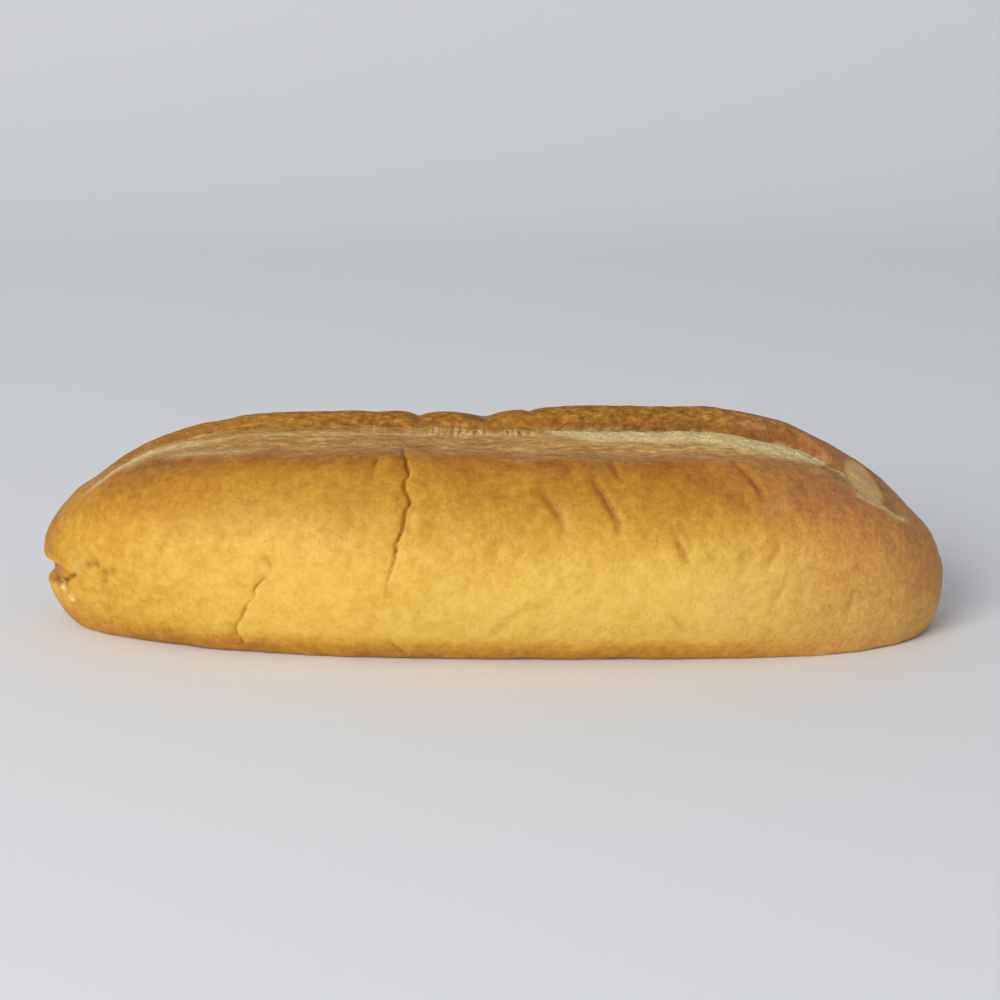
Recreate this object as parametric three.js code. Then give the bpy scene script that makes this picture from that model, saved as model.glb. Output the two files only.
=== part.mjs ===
// A whole Italian bread loaf, in millimetres: +Z up, X along the loaf, and the slash's raised lip towards +Y.
// The loaf is one solid. Its body is a row of cross-sections, each a superellipse dome over a shallower
// underside, cut flat where it lies on the table. One long slash runs along the top. In front of its root
// lies the bloom, a sunken band where the dough opened in the oven, and behind it the torn crust stands up
// as a lip with a few notches. The origin is the middle of the flat base.
import * as THREE from "three";

// Driving dimensions. Left is -X and right is +X.
const LENGTH = 330;
const WIDTH = 118;
const CROWN = 74.5; // top of the dome, without the lip
const WAIST = 30; // height of the widest line
const UNDERSIDE = 43.5; // depth of the whole underside below the waist, before the table cuts it
const SECTION_POWER = 2.3; // 2 is an ellipse, more is boxier

// How each end closes: the tip's height, and for each radius the share of the half length over which it
// falls away, and the power that rounds it.
const ENDS = {
  left: {
    tip: 28.5,
    plan: { reach: 0.95, power: 1.9 },
    crown: { reach: 0.57, power: 1.78 },
    underside: { reach: 0.57, power: 2.9 },
  },
  right: {
    tip: 19,
    plan: { reach: 1, power: 2.4 },
    crown: { reach: 0.56, power: 1.68 },
    underside: { reach: 0.26, power: 1.85 },
  },
};
const TIP_DROP_POWER = 2.5; // how late the waist line runs down to the tips

// The slash, as sizes that change along the loaf. Each pair is a place, from -1 at the left tip to 1 at the
// right tip, and the size there, with a smooth step from each pair to the next.
const ROOT_PLACE = [[-0.95, 5.5], [-0.35, 2], [0.6, 2], [0.95, -0.5]]; // behind the middle plane
const BLOOM_WIDTH = [[-0.9, 6], [-0.5, 26], [-0.2, 26], [0.25, 31], [0.42, 31], [0.68, 20], [0.81, 20], [0.95, 4]];
const BLOOM_SINK = [[-0.97, 0], [-0.84, 1.2], [-0.3, 3.2], [0.6, 3.2], [0.86, 2.2], [0.98, 0]];
const LIP_RISE = [[-0.97, 0], [-0.75, 2.7], [-0.03, 2.7], [0.24, 4.8], [0.62, 4.8], [0.82, 1.8], [0.95, 0]];
const ROOT_WANDER = 1; // the root's gentle waves to both sides
const ROOT_WAVE = 250;
const BLOOM_EDGE = 3.2; // half the width of the soft step at the bloom's front edge
const BLOOM_SWELL = 0.25; // how much of the sink the bloom's middle wins back
const LIP_FACE = 3; // width of the steep face that rises to the lip
const LIP_SHOULDER = 6; // how far behind the root the lip stays at full height
const LIP_BACK = 14; // and over what length it then sinks into the back
const LIP_OVERHANG = 1.6;

// Notches in the lip: place along X, depth, and how wide they open to the left and right.
const NOTCHES = [
  { x: -28.3, depth: 2.6, left: 2, right: 2.6 },
  { x: -3.6, depth: 3.4, left: 5.5, right: 3.5 },
  { x: 12.8, depth: 1.2, left: 2.5, right: 2.5 },
];
const NOTCH_BACK = 12; // how far the notches run down the back

// Fineness of the surface: how many rings, and how many steps in a ring before and behind the root.
const RINGS = 84;
const FRONT_STEPS = 26;
const BACK_STEPS = 20;
const TIP_ZONE = 0.22; // share of each half in which the rings crowd towards the tip
const LEAST_FLAT = 0.995; // keeps a sliver of flat under the lifted ends, so that every ring has two corners

const clamp = (value, low, high) => Math.min(high, Math.max(low, value));
const mix = (from, to, share) => from + (to - from) * share;
const smoothStep = (from, to, value) => THREE.MathUtils.smoothstep((value - from) / (to - from), 0, 1);
const signedPower = (value, power) => Math.sign(value) * Math.abs(value) ** power;
const bell = (value, width) => Math.exp(-((value / width) ** 2));

// The size that a list of pairs gives at a place along the loaf.
function sizeAt(pairs, along) {
  let size = pairs[0][1];
  for (let i = 1; i < pairs.length; i++)
    size = mix(size, pairs[i][1], smoothStep(pairs[i - 1][0], pairs[i][0], along));
  return size;
}

// 1 along the loaf's middle, falling to 0 at the tip as a superellipse quarter does.
function closing(along, { reach, power }) {
  const beyond = clamp((Math.abs(along) - (1 - reach)) / reach, 0, 1);
  return Math.max(0, 1 - beyond ** power) ** (1 / power);
}

// The body's radii at a place along the loaf.
function bodyAt(along) {
  const end = along < 0 ? ENDS.left : ENDS.right;
  const waist = mix(WAIST, end.tip, Math.abs(along) ** TIP_DROP_POWER);
  return {
    waist,
    half: (WIDTH / 2) * closing(along, end.plan),
    rise: (CROWN - waist) * closing(along, end.crown),
    drop: UNDERSIDE * closing(along, end.underside),
  };
}

// The slash's sizes at a place along the loaf.
function slashAt(along) {
  const x = (along * LENGTH) / 2;
  const lip = sizeAt(LIP_RISE, along);
  const notches = NOTCHES.map((notch) => {
    const width = x < notch.x ? notch.left : notch.right;
    return notch.depth * Math.exp(-Math.abs(x - notch.x) / width);
  });
  return {
    root: sizeAt(ROOT_PLACE, along) + ROOT_WANDER * Math.sin((x / ROOT_WAVE) * 2 * Math.PI),
    bloom: sizeAt(BLOOM_WIDTH, along),
    sink: sizeAt(BLOOM_SINK, along),
    lip,
    notch: notches.reduce((sum, depth) => sum + depth, 0) * clamp(lip, 0, 1),
  };
}

// How far the dome's skin moves out at the distance w behind the root, measured over the dome.
function lift(w, { bloom, sink, lip, notch }) {
  const back = bell(Math.max(w - LIP_SHOULDER, 0), NOTCH_BACK);
  const crease = notch * smoothStep(-1, LIP_SHOULDER, w) * back;
  if (w > 0) {
    const rise = mix(-sink, lip, smoothStep(0, LIP_FACE, w));
    return rise * bell(Math.max(w - LIP_SHOULDER, 0), LIP_BACK) - crease;
  }
  const inside = smoothStep(-bloom - BLOOM_EDGE, -bloom + BLOOM_EDGE, w);
  const swell = BLOOM_SWELL * Math.sin(Math.PI * clamp(-w / bloom, 0, 1));
  return -sink * inside * (1 - swell) - crease;
}

// The angles of a ring's points, from the front base corner over the top to the back one. They crowd at
// the slash's root, where the surface turns most.
function ringAngles(body, slash) {
  const cut = Math.min(body.waist / body.drop, LEAST_FLAT);
  const corner = -Math.asin(cut ** (SECTION_POWER / 2));
  const sideways = clamp(slash.root / body.half, -0.9, 0.9);
  const root = Math.PI / 2 + Math.asin(signedPower(sideways, SECTION_POWER / 2));
  const angles = [];
  for (let i = FRONT_STEPS; i > 0; i--) {
    const share = i / FRONT_STEPS;
    angles.push(mix(root, corner, mix(share, share ** 2, 0.58)));
  }
  for (let i = 0; i <= BACK_STEPS; i++) {
    const share = i / BACK_STEPS;
    angles.push(mix(root, Math.PI - corner, mix(share, share ** 1.9, 0.86)));
  }
  return angles;
}

// One ring of points around the loaf: the dome's own points, moved out by the lift and, on the lip's face,
// forward by the overhang.
function ringAt(along) {
  const body = bodyAt(along);
  const slash = slashAt(along);
  const dome = ringAngles(body, slash).map((angle) => {
    const up = signedPower(Math.sin(angle), 2 / SECTION_POWER);
    return new THREE.Vector2(
      -signedPower(Math.cos(angle), 2 / SECTION_POWER) * body.half,
      body.waist + up * (up > 0 ? body.rise : body.drop),
    );
  });
  const over = [0];
  for (let i = 1; i < dome.length; i++) over.push(over[i - 1] + dome[i].distanceTo(dome[i - 1]));
  return dome.map((point, i) => {
    const before = dome[Math.max(i - 1, 0)];
    const behind = dome[Math.min(i + 1, dome.length - 1)];
    const back = behind.clone().sub(before).normalize();
    const w = over[i] - over[FRONT_STEPS];
    const out = lift(w, slash);
    const forward = LIP_OVERHANG * clamp(slash.lip / 4, 0, 1) * bell(w - 0.75 * LIP_FACE, 0.6 * LIP_FACE);
    const y = point.x - back.y * out - back.x * forward;
    const z = point.y + back.x * out - back.y * forward;
    return new THREE.Vector3((along * LENGTH) / 2, y, Math.max(0, z));
  });
}

// Where a ring lies along the loaf: evenly spaced in the middle, and closer and closer towards each tip.
function ringPlace(share) {
  const fromTip = 1 - Math.abs(share);
  const scale = 1 / (TIP_ZONE * (2 - TIP_ZONE));
  const crowded = scale * fromTip ** 2;
  const even = scale * TIP_ZONE * (2 * fromTip - TIP_ZONE);
  return Math.sign(share) * (1 - (fromTip < TIP_ZONE ? crowded : even));
}

// The closed skin: rings joined by pairs of triangles, and a fan at each tip.
function loafGeometry() {
  const rings = [];
  for (let i = 1; i < RINGS; i++) rings.push(ringAt(ringPlace((2 * i) / RINGS - 1)));
  const around = rings[0].length;
  const last = (rings.length - 1) * around;
  const points = rings.flat();
  const leftTip = points.push(new THREE.Vector3(-LENGTH / 2, 0, ENDS.left.tip)) - 1;
  const rightTip = points.push(new THREE.Vector3(LENGTH / 2, 0, ENDS.right.tip)) - 1;
  const faces = [];
  for (let j = 0; j < around; j++) {
    const next = (j + 1) % around;
    faces.push(leftTip, j, next);
    faces.push(rightTip, last + next, last + j);
    for (let i = 0; i < last; i += around) {
      faces.push(i + j, i + around + j, i + around + next);
      faces.push(i + j, i + around + next, i + next);
    }
  }
  const geometry = new THREE.BufferGeometry().setFromPoints(points);
  geometry.setIndex(faces);
  geometry.computeBoundingBox();
  const { min, max } = geometry.boundingBox;
  geometry.translate(-(min.x + max.x) / 2, -(min.y + max.y) / 2, -min.z);
  geometry.computeVertexNormals();
  return geometry;
}

const crust = new THREE.MeshStandardMaterial({ color: 0xd9a04c, roughness: 0.6, metalness: 0 });

const loaf = new THREE.Mesh(loafGeometry(), crust);
loaf.name = "loaf";

const group = new THREE.Group();
group.add(loaf);

export default group;
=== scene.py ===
"""A whole Italian bread loaf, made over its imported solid. The loaf is worked out in millimetres and put into
its meshes in metres. Left is -X, right is +X, the open side of the slash is -Y and +Z is up."""

import bpy
from collections import namedtuple
from itertools import product
from math import cos, pi, radians, sin

import numpy as np
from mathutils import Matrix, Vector


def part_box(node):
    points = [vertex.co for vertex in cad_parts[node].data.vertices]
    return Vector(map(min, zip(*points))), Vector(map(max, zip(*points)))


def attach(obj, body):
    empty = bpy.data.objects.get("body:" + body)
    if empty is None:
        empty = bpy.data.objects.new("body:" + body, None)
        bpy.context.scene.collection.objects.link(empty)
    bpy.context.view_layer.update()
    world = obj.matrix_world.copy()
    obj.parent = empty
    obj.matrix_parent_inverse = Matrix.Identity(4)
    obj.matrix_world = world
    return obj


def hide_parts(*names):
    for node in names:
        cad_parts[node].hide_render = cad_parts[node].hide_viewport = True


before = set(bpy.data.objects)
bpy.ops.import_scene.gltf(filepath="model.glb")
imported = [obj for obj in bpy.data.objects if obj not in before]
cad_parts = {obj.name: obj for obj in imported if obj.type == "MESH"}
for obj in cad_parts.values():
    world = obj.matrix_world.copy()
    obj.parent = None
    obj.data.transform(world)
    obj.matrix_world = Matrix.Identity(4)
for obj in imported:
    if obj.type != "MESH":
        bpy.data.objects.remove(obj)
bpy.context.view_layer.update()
LOW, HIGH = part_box("loaf")

MM = 0.001
LENGTH = (HIGH.x - LOW.x) / MM
WIDTH = (HIGH.y - LOW.y) / MM

# ---------------------------------------------------------------------------- the loaf's sizes, millimetres
CROWN = 74.5  # top of the dome, without the lip
WAIST = 30.0  # height of the widest line
UNDERSIDE = 43.5  # depth below the waist, before the table flattens it
SECTION_POWER = 2.3  # 2 is an ellipse, more is boxier
FOOT_ROUND = 2.0  # how softly the side turns into the flat base
FOOT_PRESS = 1.0  # how far the foot is pressed back down on the table
FOOT_TOP = 10.0  # the height at which the pressing starts
TIP_HEIGHT = (28.5, 19.0)  # left, right
TIP_DROP_POWER = 2.5  # how late the waist runs down to the tips
# How the radii close at the left and right end: the share of the half length over which they fall, and the
# power.
PLAN_END = ((0.95, 1.9), (1.0, 2.4))
CROWN_END = ((0.57, 1.78), (0.56, 1.68))
UNDERSIDE_END = ((0.57, 2.9), (0.26, 1.85))
BLUNT_REACH = 12.0  # the last stretch of the right end, which is pushed outwards to round its tip
BLUNT_POWER = 1.19

# The slash: pairs of a place along the loaf, from -1 at the left tip to 1 at the right tip, and a size there.
ROOT_PLACE = ((-0.95, 5.5), (-0.35, 2.0), (0.6, 2.0), (0.95, -0.5))  # behind the middle plane
ROOT_WAVE = 250.0  # length of the root's gentle waves
BLOOM_WIDTH = (
    (-0.9, 6.0), (-0.5, 26.0), (-0.2, 26.0), (0.25, 31.0),
    (0.42, 31.0), (0.68, 20.0), (0.81, 20.0), (0.95, 4.0),
)
BLOOM_SINK = ((-0.97, 0.0), (-0.84, 1.2), (-0.3, 3.2), (0.6, 3.2), (0.86, 2.2), (0.98, 0.0))
BLOOM_EDGE = 6.0  # half the width of the soft step at the bloom's front edge
BLOOM_SWELL = 0.25  # how much of the sink the bloom's middle wins back
# How wide the palest crumb lies in front of the root, and how much of the rest of the bloom is unbaked tan.
CRUMB_WIDTH = (
    (0.07, 0.0), (0.17, 18.0), (0.24, 24.0), (0.42, 24.0), (0.53, 26.0),
    (0.6, 25.0), (0.66, 21.0), (0.7, 19.0), (0.77, 4.0), (0.79, 0.0),
)
BLOOM_TAN = ((-0.96, 0.0), (-0.86, 0.75), (0.6, 0.9), (0.72, 0.85), (0.86, 0.7), (0.92, 0.0))
LIP_RISE = ((-0.97, 0.0), (-0.75, 2.7), (-0.03, 2.7), (0.24, 4.8), (0.62, 4.8), (0.82, 1.8), (0.95, 0.0))
# How far behind the root the lip's lower edge lies. It is negative at the right end, where the edge runs down
# in front of the root.
LIP_UNDERSIDE = (
    (-0.3, 0.6), (0.1, 2.0), (0.25, 2.0), (0.4, 1.1), (0.54, 0.5),
    (0.63, 1.3), (0.67, 0.8), (0.74, -9.0), (0.9, -10.0),
)
LIP_FACE = ((-0.9, 8.0), (-0.3, 6.5), (0.1, 4.5), (0.65, 4.5), (0.8, 9.0))  # width of the lip's face
LIP_STANDING = ((-0.3, 0.15), (0.08, 1.0), (0.68, 1.0), (0.82, 0.2))  # 1 is an upright edge, 0 a soft swell
SOFT_LIP_START = 7.0  # how far in front of the root the soft stretches of the lip begin to rise
LIP_SHOULDER = 6.0  # how far behind the root the lip stays at full height
LIP_BACK = 14.0  # and over what length it then sinks into the back
LIP_HANGS = (2.4, 4.2)  # the lip's heights at which its edge starts to hang over, and hangs over in full
LIP_OVERHANG = 2.6
OVERHANG_START = 2.5  # how far in front of the lower edge the overhang starts
OVERHANG_REACH = 2.4  # and how soon it dies away behind it
UNDERCUT_WIDTH = 1.6
UNDERCUT_LEAST = 0.2  # the share of the undercut where the lip doesn't hang over
LOWEST_FACE = 0.12  # the share of the face's rise that lies below the lower edge
# Notches in the lip: place along X, depth, and how wide they open to the left and right.
NOTCHES = ((-43.0, 0.6, 3.0, 3.0), (-28.3, 3.0, 2.0, 2.8), (-3.6, 4.6, 5.5, 3.5), (12.8, 1.3, 2.5, 2.5))
NOTCH_BACK = 12.0  # how far the notches run down the back

# Cracks and creases in the crust: a path of (x, distance in front of the slash's root, strength), the depth,
# the half width, and how far the skin on the right is lifted, which also sets how much painted shade its left
# side and painted highlight its right side get. A place behind the root has a minus distance.
CRACKS = (
    # the bent crack left of the middle, and a short split beside its top
    (((-32.2, 19, 0), (-31, 27, 0.4), (-30.7, 31.3, 0.8), (-29.6, 36.8, 1), (-28.6, 40.1, 1),
      (-28.6, 42.6, 0.9), (-28.9, 44.1, 0.5), (-29.9, 45, 0.9), (-29.7, 48.4, 1), (-28.9, 50.3, 0.9),
      (-27.8, 52.9, 1), (-27.6, 54.4, 1), (-28.4, 56, 1), (-29, 57.9, 0.9), (-29.8, 61.7, 1),
      (-30.2, 64.2, 0.9), (-31.6, 68, 1), (-32.7, 69.2, 0.4), (-32.5, 71.7, 1), (-32.8, 73.4, 0.8),
      (-33.7, 76.7, 0.7), (-34.4, 79.5, 0.35), (-35.7, 83.5, 0.25), (-35.6, 86.7, 0.15), (-36.2, 92, 0)),
      1.6, 0.5, 0.9),
    (((-40, 31, 0), (-40.4, 35, 1), (-40.8, 40, 0.8), (-41.2, 46, 0)), 0.7, 0.6, 0.4),
    # the crack at the left foot, and its upper branch
    (((-77.2, 77.2, 0), (-78.8, 77.9, 0.7), (-80.7, 79.9, 0.8), (-82.1, 82, 1), (-82, 83.4, 0.8),
      (-82.4, 84.4, 0.2), (-83.4, 85.4, 0.3), (-85.1, 86.6, 0.5), (-86, 89, 0.8), (-87.1, 91.8, 1),
      (-87.4, 92.8, 0.3), (-89.2, 94, 0.7), (-90, 96.2, 1), (-89.6, 98.6, 0.9), (-88.2, 100.4, 0.6),
      (-87.4, 103.6, 0.8), (-86.3, 106, 0)), 0.9, 0.45, 0.7),
    (((-77.4, 70, 0), (-77.2, 72.2, 1), (-76.7, 74.8, 1), (-75.6, 76.6, 0)), 0.35, 0.8, 0.45),
    # creases under the bloom, right of the middle
    (((34, 42, 0), (35.6, 44.9, 0.6), (36.8, 48.9, 0.9), (38.5, 51.4, 1), (41, 57, 1), (44, 62.2, 0.8),
      (44.4, 66.5, 0.3), (45, 70, 0)), 1.3, 1.2, 0.7),
    (((16.5, 46, 0), (18.5, 53, 0.7), (22.4, 58.4, 1), (24.1, 62.2, 0.9), (27.5, 69, 0)), 0.9, 1.5, 0.35),
    (((83.5, 32, 0), (85.5, 34.7, 0.6), (88.8, 37.9, 0.9), (91.3, 41.4, 1), (93.5, 44.2, 0.8),
      (95.5, 51, 0)), 1.05, 1.2, 0.4),
    (((73, 39, 0), (76.1, 42.4, 0.6), (81.8, 47.3, 1), (88, 50.7, 0.9), (92, 55, 0)), 0.7, 2.6, 0.2),
    (((41.7, 33, 0), (41.9, 36.3, 1), (42.7, 40.2, 1), (44, 43.8, 0.6), (46, 48, 0)), 1.0, 0.7, 0.6),
    (((24.5, 36, 0), (25.8, 39.3, 1), (27.9, 42.9, 0.8), (29.5, 46, 0)), 0.5, 0.9, 0.2),
    # fainter creases lower down and towards the right end
    (((63.2, 65, 0), (64.5, 69, 1), (67.1, 72.8, 1), (69.5, 79, 0)), 0.75, 0.98, 0.3),
    (((99.8, 61, 0), (99.1, 64, 0.9), (97, 68.5, 1), (95.5, 75, 0)), 0.5, 0.9, 0.25),
    (((87.8, 66, 0), (87, 70, 1), (86.4, 73.5, 0)), 0.5, 0.9, 0.2),
    (((102.5, 72.5, 0), (101.6, 76, 1), (98.5, 82.5, 0.8), (96.5, 88, 0)), 0.45, 1.0, 0.3),
    (((127.2, 63, 0), (126.3, 67, 1), (125, 72.5, 0.8), (124, 77, 0)), 0.45, 1.0, 0.25),
    # by the foot
    (((-1, 106, 0), (0.9, 103.8, 0.8), (5.6, 98.7, 0.9), (10.4, 94.2, 1), (18, 91.5, 0)), 0.3, 1.3, 0.2),
    (((61, 93, 0), (62.7, 95.8, 1), (65.9, 99.9, 1), (68, 103, 0)), 0.4, 0.8, 0.3),
    (((-35.5, 104, 0), (-34, 108, 1), (-31.5, 111, 1), (-29.5, 114, 0.5)), 0.6, 0.5, 0.4),
    # on the back
    (((52, -36, 0), (50, -47, 1), (51, -56, 0.8), (48, -66, 0)), 0.7, 1.2, 0.4),
    (((-70, -26, 0), (-73, -41, 1), (-71, -52, 0.7), (-74, -64, 0)), 0.8, 1.0, 0.4),
    (((-8, -62, 0), (-11, -75, 1), (-10, -84, 0.8), (-14, -95, 0)), 0.8, 0.7, 0.5),
    (((97, -50, 0), (94, -67, 1), (95, -82, 0)), 0.5, 1.4, 0.3),
    # short tears at the lower edge of the crumb
    (((42, 17.5, 0), (44, 17.3, 0.8), (49, 16.8, 1), (53, 17.3, 1), (57, 18.3, 0.9), (60, 19, 0)), 1.2, 1.5,
      0),
    (((64, 20.4, 0), (66.5, 19.8, 0.8), (70, 18.4, 0.9), (74.6, 17.7, 1), (79, 18, 0.8), (83, 19.2, 0)),
      1.0, 1.5, 0),
)
FOLLOWED = (0, 2)  # the cracks whose paths the mesh's columns run along
FOLLOW_REACH = 14.0  # how far to each side of such a crack the columns give way,
FOLLOW_FADE = 12.0  # and how far beyond its ends
CRACK_WANDER = 0.35  # how far cracks with a half width under 1 stray from their paths
CRACK_STEP = 4.5  # over what length the lifted skin on the right sinks back
CRACK_DIP = (0.35, 2.5)  # the share of that lift by which the left side dips, and over what length
CRACK_DARKNESS = ((1.0, 0.9), (1.6, 0.75), (9.0, 0.5))  # a half width, and how dark narrower cracks are
# Dents: place, depth, and the radii along and down.
DENTS = (
    ((-18.5, 61.6), 0.5, 2.6, 3.0),
    ((2.8, 73), 0.5, 2.0, 4.2),
    ((-76, 73), 0.6, 6.0, 3.2),
)
# Places where the crust is baked darker or paler: place along and height, radii, and by how much.
BLUSHES = (
    ((-14, 38), (30, 16), 0.07),
    ((126, 30), (16, 14), -0.06),
    ((127, 65), (9, 5), -0.25),
    ((150, 8), (10, 8), -0.08),
)
# The torn left tip: tears as paths of (x, y, z), with the depth and the half width, small pits as (place,
# depth, radius), and the crumb that the tears bare as (place, radius).
TEARS = (
    (((-165, 5, 26.5), (-163.6, -5, 25.8), (-161.9, -10.4, 24.2), (-160.2, -12.7, 22)), 1.5, 0.7),
    (((-165, 8, 16.4), (-162.6, -5.5, 16.9), (-160.3, -12, 17.8), (-158, -15.5, 17.8), (-155.2, -18.5, 19.2),
      (-153, -21, 21.2), (-150.6, -23.0, 23.2)), 1.6, 0.8),
)
TIP_PITS = (
    ((-140.8, -30.0, 29.4), 0.7, 1.5), ((-137.6, -31.7, 26.6), 0.8, 1.7), ((-137.2, -31.9, 23.8), 0.6, 1.1),
    ((-143.4, -28.0, 28.6), 0.5, 1.3), ((-134.0, -33.5, 28.5), 0.4, 1.2),
)
BARED = (((-156.3, -18.2, 16.8), 2.3), ((-152.6, -20.2, 13.4), 1.5))
FLAP = (17.2, 25.8)  # between these heights, and the two tears, the crust is browner and sunken
FLAP_X = (-150.5, -156)  # and these are the steps at its other edges
FLAP_Y = (16, 6)
FLAP_SINK = 3.0
FLAP_RIM = (0.25, 1.2, 1.5)  # height of the low rim above it, its distance and half width
# The smooth tan patch in the bloom's right end: place along X and in front of the root, and its radii.
PATCH = ((133.3, 9.8), (6.6, 16.0))
PATCH_SINK = 0.4
DARK_EDGE_SINK = 0.4  # how far the dark stretch of the lip's edge sinks in
RIM_HEIGHT = 0.15  # of the low rim along the bloom's front edge
SKIN_LOST = 0.6  # the share of the skin's own relief that is lost where it is torn open
# Pale lines in the skin, one of them a painted highlight: a path of (x, distance in front of the root,
# strength), and the half width.
PALE_LINES = (
    (((117, 3, 0), (120.3, 8.6, 0.35), (124.1, 10.3, 0.45), (126.8, 14.6, 0.5), (128, 22, 0.6),
      (130.1, 25.8, 0.8), (135.4, 24.4, 0.9), (139.8, 22.4, 0.95), (143.3, 22.1, 0.9), (147, 19, 0.7),
      (149.9, 13.2, 0)), 1.2),
    (((-150, 19, 0), (-142.5, 17, 0.5), (-138.3, 14.8, 0.6), (-133.3, 14.5, 0.75), (-129, 13.2, 0.75),
      (-126, 10, 0)), 2.0),
    (((-136, 15, 0), (-130.5, 13, 0.8), (-128, 9, 0.9), (-125.5, 7, 0.8), (-118, 7, 0.5), (-108, 10, 0.45),
      (-98, 13, 0)), 3.8),
    (((-122, 16, 0), (-112, 19.5, 0.4), (-100, 22.5, 0.4), (-90, 23.5, 0.25), (-82, 24, 0)), 2.2),
    # this line is a painted highlight along the lit edge of a crease, over a low raised ridge
    (((93, 55, 0), (95.8, 52.1, 0.1), (102.2, 45.2, 0.1), (107.7, 41.9, 0)), 2.0),
    (((-151.5, 43.4, 0), (-149.5, 45, 0.22), (-146.5, 48, 0.2), (-144.5, 50, 0)), 1.8),
    (((-142.5, 51, 0), (-141.2, 52.2, 0.25), (-139.8, 53.5, 0)), 1.6),
    (((87, 78, 0), (84.4, 83.2, 0.14), (79.5, 92.6, 0.14), (72.9, 104.8, 0)), 4.5),
)
# Pale streaks in the bloom: strength, distance in front of the root (or, if minus, behind the bloom's front
# edge), half width, how ragged they are, and the steps along the loaf.
MIDDLE_STREAK = (0.55, 8.5, 3.6, 1.0, ((-0.85, -0.6), (0.2, 0.05)))
EDGE_STREAK = (0.26, -6.0, 2.2, 1.6, ((-0.98, -0.85), (-0.25, -0.45)))

# Steps along the loaf, as pairs of places: a look is missing at the first of a pair and full at the second.
THIN_CRUMB = ((-0.06, 0.08), (0.75, 0.65))  # a thin veil of crumb over the whole bloom
BURST_LEFT = ((0.15, -0.05),)  # where burst crust covers the soft lip,
BURST_RIGHT = ((-0.05, 0.15),)  # where it covers the upright lip,
BURST = ((-0.96, -0.84), (0.95, 0.8))  # and how both end
# the next stretch is painted dark: partly charred crust, partly painted shade along the lip's step
CHARRED_AND_SHADED = ((0.58, 0.64), (0.79, 0.74))  # the darkest stretch of the lip's lower edge
STRANDS_X = ((-52, -38), (26, 12))  # strands of crumb: along X in millimetres,
STRANDS_W = ((-13, -8), (2.5, -1.5))  # and behind the root
BEHIND = ((-1.0, -0.8), (1, 0.9))  # the dark crust behind the lip's edge
DULL = (0.35, 0.8)  # the crust turns duller and redder to the right

# How dark the crust is baked, from 0 to 1: a least value, and rows of how much more, the steps along the loaf
# and the steps in height.
BAKE_LEAST = 0.12
BAKED = (
    (0.34, (), ((28, 64),)),  # the upper half,
    (0.06, ((-0.3, 0.3),), ((28, 64),)),  # and a little more to the right
    (0.42, (), ((12, 3),)),  # the foot,
    (-0.378, ((0.4, 0.9),), ((12, 3),)),  # but hardly at the right end,
    (-0.252, ((-0.62, -0.88),), ((12, 3),)),  # and less at the left one
    (0.25, ((-0.35, -1),), ()),  # the left end,
    (0.28, ((-0.92, -0.99),), ((24, 30),)),  # and its tip, above the flap
    (0.07, ((0.25, 0.45),), ((40, 58),)),  # the right half's top
)
BAKED_LOW_LEFT = ((0.05, ((0.1, -0.2), (-0.9, -0.7)), ((44, 20),)),)
FACING_UP = (0.3, 1)  # the upward part of the normal at which skin starts to face up, and faces up in full
BAKE_FACING_UP = 0.10
BAKE_SHOULDER = (0.20, 5, 7, ((-0.9, -0.6), (0.55, 0.25)))  # how much, place before the bloom, width, steps
BAKE_RIGHT_END = (0.42, (0.5, 0.98), (6, 30))  # how much, step along, and the heights of its lower edge
BAKE_BEHIND = (0.80, 85)  # how much behind the lip's edge, and over what distance it fades
BEHIND_LEFT = (0.28, (-0.2, -0.5))  # how much less of it there is on the left,
BEHIND_RIGHT = (0.45, (0.58, 0.74))  # and on the right
BAKE_BACK = (0.24, (12, 60))  # how much more on the back, and over what distance behind the root it comes in
BAKE_PATCH = -0.42
BAKE_FLAP = 0.3
BAKE_TEAR = 0.25
BAKE_BARED = -0.3
# How dark the painted shade in hollows is, from 0 to 1, and how dark the lip's lower edge is painted, partly
# as scorched crust and partly as painted shade under the overhang.
PORE_SHADE = 0.3
HOLE_SHADE = 0.5
CHAR_SHADE = 0.6
TEAR_SHADE = 0.6
UNDER_LIP_SHADE = 0.5
SCORCH_AND_SHADE = 0.8

# Relief of the baked skin: noise as (height, size, seed), pits and bumps as (height, size, seed, share), and
# creases as (depth, size, seed, sharpness, and the size, seed and step of the noise that places them).
SKIN_NOISE = ((0.45, 42, 1), (0.28, 17, 2), (0.20, 8, 3), (0.12, 4.5, 4), (0.05, 2.8, 5))
SKIN_PITS = ((-0.25, 9, 61, 0.06), (-0.20, 4.2, 66, 0.05), (0.16, 5, 62, 0.06))
SKIN_CREASES = ((0.16, 11, 26, 5, 24, 27, (-0.2, 0.5)), (0.12, 5.5, 28, 4, 19, 29, (-0.1, 0.6)))
WRINKLE_HEIGHT = 0.16

# Fineness of the skin: rows as (length at mid-loaf, number), from the root to the middle of the base.
FRONT_ROWS = ((9.0, 16), (27.0, 36), (78.0, 64), (46.0, 8))
BACK_ROWS = ((9.0, 24), (14.0, 15), (87.0, 42), (46.0, 8))
COLUMNS = 452
TIP_CROWDING = 0.2  # the share of the columns that crowd towards the tips
CRACK_CROWDING = (0.02, 0.045)  # how many of them crowd around a followed crack, and how closely
STATION_SAMPLES = 20001
SECTION_SAMPLES = 500
TIP_BULGE = 0.15  # how far the last point at each tip stands out from its ring
TINY = 1e-9


# ------------------------------------------------------------------------------------------------ formulas
def smooth(low, high, value):
    """A smooth step from 0 at low to 1 at high: 3t^2 - 2t^3 of the clamped share t."""
    t = np.clip((value - low) / (high - low), 0, 1)
    return t * t * (3 - 2 * t)


def bell(value, width):
    """A bell: e to the minus square of value over width."""
    return np.exp(-((value / width) ** 2))


def stepped(value, steps):
    """The product of smooth steps, each from 0 at its first number to 1 at its second."""
    share = 1.0
    for none, full in steps:
        share = share * smooth(none, full, value)
    return share


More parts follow.
